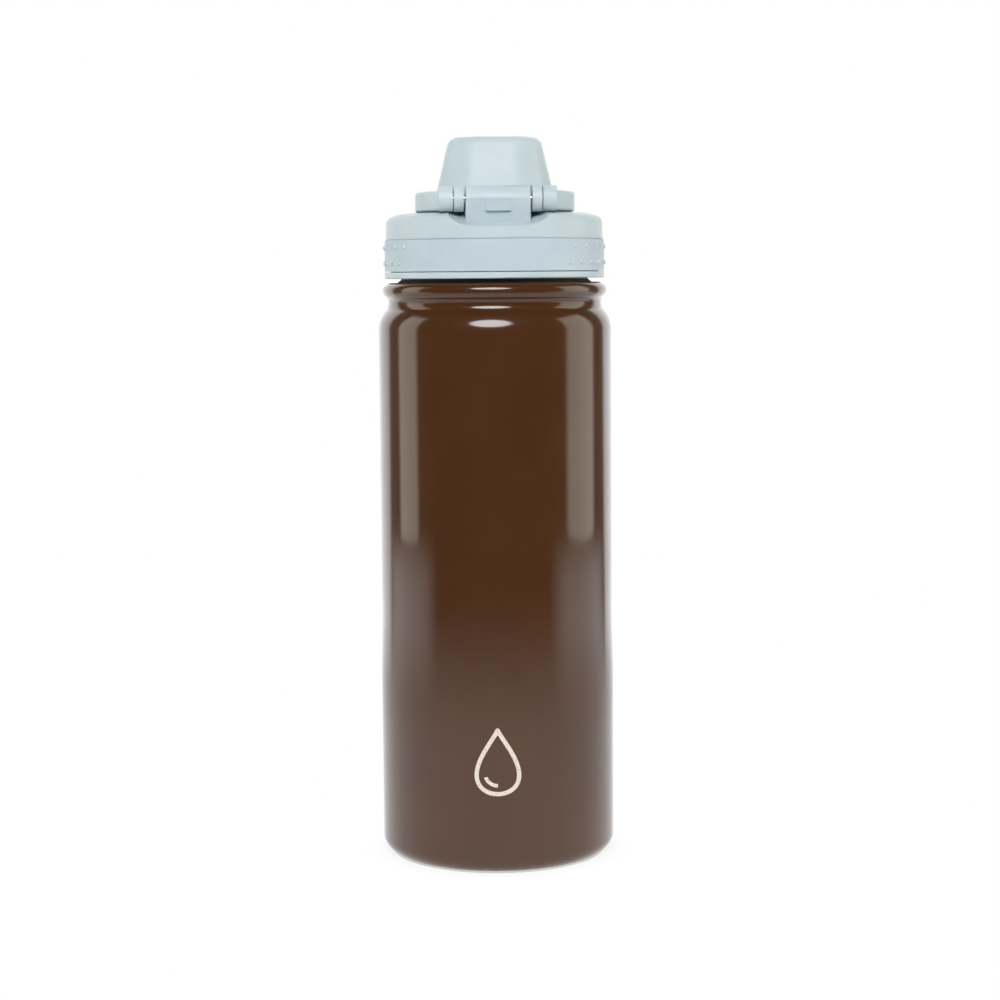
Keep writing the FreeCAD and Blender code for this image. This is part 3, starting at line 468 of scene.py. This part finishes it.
def lamp_cloth(name, width, height, power, tint, edge, round_shape):
    """Softbox cloth, woven and back-lit: even light that falls off in a soft border."""
    material, tree = finish_named(name)
    place = add(tree, "ShaderNodeTexCoord").outputs["Object"]
    size = add(tree, "ShaderNodeVectorMath", {
        0: place, 1: (2 / width, 2 / height, 0.0)}, operation="MULTIPLY")
    if round_shape:
        reach = add(tree, "ShaderNodeVectorMath", {0: size.outputs["Vector"]}, operation="LENGTH")
        from_centre = reach.outputs["Value"]
    else:
        apart = add(tree, "ShaderNodeSeparateXYZ", {"Vector": size.outputs["Vector"]})
        across = add(tree, "ShaderNodeMath", {0: apart.outputs["X"]}, operation="ABSOLUTE")
        up = add(tree, "ShaderNodeMath", {0: apart.outputs["Y"]}, operation="ABSOLUTE")
        larger = add(tree, "ShaderNodeMath", {0: across.outputs["Value"], 1: up.outputs["Value"]},
                     operation="MAXIMUM")
        from_centre = larger.outputs["Value"]
    fall = add(tree, "ShaderNodeMapRange", {
        "Value": from_centre, "From Min": 1 - edge, "From Max": 1.0,
        "To Min": power, "To Max": 0.0}, interpolation_type="SMOOTHSTEP")
    back = add(tree, "ShaderNodeNewGeometry").outputs["Backfacing"]
    front_only = add(tree, "ShaderNodeMath", {0: 1.0, 1: back}, operation="SUBTRACT")
    strength = add(tree, "ShaderNodeMath", {
        0: fall.outputs["Result"], 1: front_only.outputs["Value"]}, operation="MULTIPLY")
    glow = add(tree, "ShaderNodeEmission", {
        "Color": linear(tint), "Strength": strength.outputs["Value"]})
    add(tree, "ShaderNodeOutputMaterial", {"Surface": glow.outputs["Emission"]})
    return material


def softbox(name, width, height, centre, facing, power, tint="#FFFFFF", edge=0.3,
            round_shape=False):
    """A lamp that lights and reflects but isn't seen itself."""
    box = panel(name, width, height, centre, facing,
                lamp_cloth(f"{name}_cloth", width, height, power, tint, edge, round_shape))
    box.visible_camera = False
    box.visible_shadow = False
    return box


def around(degrees, distance, height):
    """A place round the bottle: 0 degrees is -Y, 90 is +X."""
    angle = math.radians(degrees)
    return (distance * math.sin(angle), -distance * math.cos(angle), height)


def painted_glow_fan(tree, place, azimuth, narrow, wide):
    """A mask for a painted pool of light on the table: 1 inside a fan that opens from the bottle
    towards an azimuth, 0 outside it.
    Narrow and wide are the cosines of the angles where it is full and where it ends."""
    to_lamp = around(azimuth, 1.0, 0.0)
    flat = add(tree, "ShaderNodeVectorMath", {0: place}, operation="NORMALIZE")
    facing = add(tree, "ShaderNodeVectorMath", {0: flat.outputs["Vector"], 1: to_lamp},
                 operation="DOT_PRODUCT")
    return add(tree, "ShaderNodeMapRange", {
        "Value": facing.outputs["Value"], "From Min": wide, "From Max": narrow,
        "To Min": 0.0, "To Max": 1.0}, interpolation_type="SMOOTHSTEP").outputs["Result"]


def white_table_painted_glow():
    """Matt white card on a table. What the bottle mirrors and what bounces off the card is painted
    light: an emission painted bright near the bottle, in pools under the side lamps and out to the
    backdrop, and dark in front beyond the lamps' reach."""
    material, tree = finish_named("painted_glow_white_card")
    place = add(tree, "ShaderNodeNewGeometry").outputs["Position"]
    reach = add(tree, "ShaderNodeVectorMath", {0: place}, operation="LENGTH")
    # painted pools of light: fans towards the left lamp, the right lamp and the backdrop
    left = painted_glow_fan(tree, place, LEFT_AZIMUTH, 0.98, 0.80)
    right = painted_glow_fan(tree, place, RIGHT_AZIMUTH, 0.97, 0.75)
    behind = painted_glow_fan(tree, place, 180.0, BACKDROP_FULL, BACKDROP_START)
    painted_lamp_pools = add(tree, "ShaderNodeMath", {0: left, 1: right}, operation="ADD")
    painted_pool_reach = add(tree, "ShaderNodeMapRange", {
        "Value": reach.outputs["Value"], "From Min": 0.62, "From Max": 0.98,
        "To Min": 1.35, "To Max": 0.0}, interpolation_type="SMOOTHSTEP")
    painted_pool_light = add(tree, "ShaderNodeMath", {
        0: painted_lamp_pools.outputs["Value"], 1: painted_pool_reach.outputs["Result"]}, operation="MULTIPLY")
    painted_backdrop_glow = add(tree, "ShaderNodeMath", {0: behind, 1: BACKDROP_LIGHT}, operation="MULTIPLY")
    far = add(tree, "ShaderNodeMath", {
        0: painted_pool_light.outputs["Value"], 1: painted_backdrop_glow.outputs["Value"]}, operation="ADD")
    painted_far_glow_and_dark = add(tree, "ShaderNodeMath", {0: far.outputs["Value"], 1: DARK_STUDIO},
                       operation="ADD")
    # painted glow, brightest near the bottle and gone by 0.62 m
    painted_glow_near_bottle = add(tree, "ShaderNodeMapRange", {
        "Value": reach.outputs["Value"], "From Min": 0.18, "From Max": 0.62,
        "To Min": 1.1, "To Max": 0.0}, interpolation_type="SMOOTHSTEP")
    share = add(tree, "ShaderNodeMapRange", {
        "Value": reach.outputs["Value"], "From Min": 0.25, "From Max": 0.55,
        "To Min": 0.0, "To Max": 1.0}, interpolation_type="SMOOTHSTEP")
    painted_outer_glow = add(tree, "ShaderNodeMath", {
        0: painted_far_glow_and_dark.outputs["Value"], 1: share.outputs["Result"]}, operation="MULTIPLY")
    painted_table_glow = add(tree, "ShaderNodeMath", {
        0: painted_glow_near_bottle.outputs["Result"], 1: painted_outer_glow.outputs["Value"]}, operation="ADD")
    # the card glows with this painted light for every ray but the camera's
    painted_bounce_glow = add(tree, "ShaderNodeEmission", {"Strength": painted_table_glow.outputs["Value"]})
    # the faint shadow round the foot: the card's real diffuse shading, let in at 14 per cent only
    # within a painted ring 34 to 42 mm from the axis; elsewhere the camera sees plain white
    near = add(tree, "ShaderNodeMapRange", {
        "Value": reach.outputs["Value"], "From Min": 0.034, "From Max": 0.042,
        "To Min": 0.14, "To Max": 0.0}, interpolation_type="SMOOTHSTEP")
    seen_white = add(tree, "ShaderNodeEmission", {"Strength": 1.0})
    card = add(tree, "ShaderNodeBsdfDiffuse", {"Color": linear("#F4F4F4")})
    seen = add(tree, "ShaderNodeMixShader", {
        0: near.outputs["Result"], 1: seen_white.outputs["Emission"], 2: card.outputs["BSDF"]})
    to_eye = add(tree, "ShaderNodeLightPath").outputs["Is Camera Ray"]
    both = add(tree, "ShaderNodeMixShader", {
        0: to_eye, 1: painted_bounce_glow.outputs["Emission"], 2: seen.outputs["Shader"]})
    add(tree, "ShaderNodeOutputMaterial", {"Surface": both.outputs["Shader"]})
    return material


def studio_room():
    """The room: a lit white backdrop behind the bottle, and a dark studio on the near side."""
    world = bpy.data.worlds.new("studio")
    world.use_nodes = True
    tree = world.node_tree
    tree.nodes.clear()
    way = add(tree, "ShaderNodeTexCoord").outputs["Generated"]
    apart = add(tree, "ShaderNodeSeparateXYZ", {"Vector": way})
    behind = add(tree, "ShaderNodeMapRange", {
        "Value": apart.outputs["Y"], "From Min": BACKDROP_START, "From Max": BACKDROP_FULL,
        "To Min": DARK_STUDIO, "To Max": BACKDROP_LIGHT}, interpolation_type="SMOOTHSTEP")
    white_paint = (1.0, 1.0, 1.0, 1.0)
    mirrored = add(tree, "ShaderNodeBackground", {
        "Color": white_paint, "Strength": behind.outputs["Result"]})
    bounced = add(tree, "ShaderNodeBackground", {"Color": linear("#F6FAFF"), "Strength": 0.3})
    white = add(tree, "ShaderNodeBackground", {"Color": white_paint, "Strength": 1.0})
    path = add(tree, "ShaderNodeLightPath")
    lit = add(tree, "ShaderNodeMixShader", {
        0: path.outputs["Is Diffuse Ray"], 1: mirrored.outputs["Background"],
        2: bounced.outputs["Background"]})
    both = add(tree, "ShaderNodeMixShader", {
        0: path.outputs["Is Camera Ray"], 1: lit.outputs["Shader"], 2: white.outputs["Background"]})
    add(tree, "ShaderNodeOutputWorld", {"Surface": both.outputs["Shader"]})
    bpy.context.scene.world = world


table_height = -0.02 * MM
panel("table_top", TABLE_SIDE, TABLE_SIDE, (0.0, 0.0, table_height), (0.0, 0.0, 1.0),
      white_table_painted_glow())
studio_room()
body_middle = (0.0, 0.0, 0.12)
lamp_level = (0.0, 0.0, SIDE_LAMP_HEIGHT)
warm, side_power = "#FFFAEC", 2.3
softbox("left_lamp", 0.49, 1.25, around(LEFT_AZIMUTH, LAMP_DISTANCE, SIDE_LAMP_HEIGHT),
        lamp_level, side_power, warm, edge=0.45)
softbox("right_lamp", 0.70, 1.25, around(RIGHT_AZIMUTH, LAMP_DISTANCE, SIDE_LAMP_HEIGHT),
        lamp_level, side_power, warm, edge=0.4)
softbox("front_lamp", 0.78, 0.55, around(FRONT_AZIMUTH, LAMP_DISTANCE, FRONT_LAMP_HEIGHT),
        body_middle, 12.0, edge=0.35, round_shape=True)
softbox("top_lamp", 0.9, 0.7, (0.0, 0.35, 1.1), body_middle, 1.0, edge=0.4)

camera_place = Vector((-30.1, -689.1, 181.24)) * MM
camera_turn, camera_down, camera_roll = (
    math.radians(degrees) for degrees in (-2.6, 5.848, -0.433))

camera_data = bpy.data.cameras.new("camera")
camera_data.sensor_width = 36.0
camera_data.lens = 79.5
camera_data.clip_start = 10 * MM
camera = bpy.data.objects.new("camera", camera_data)
bpy.context.scene.collection.objects.link(camera)
camera.matrix_world = (
    Matrix.Translation(camera_place)
    @ Matrix.Rotation(camera_turn, 4, "Z")
    @ Matrix.Rotation(math.pi / 2 - camera_down, 4, "X")
    @ Matrix.Rotation(camera_roll, 4, "Z"))
bpy.context.scene.camera = camera
bpy.context.scene.view_settings.view_transform = "Standard"
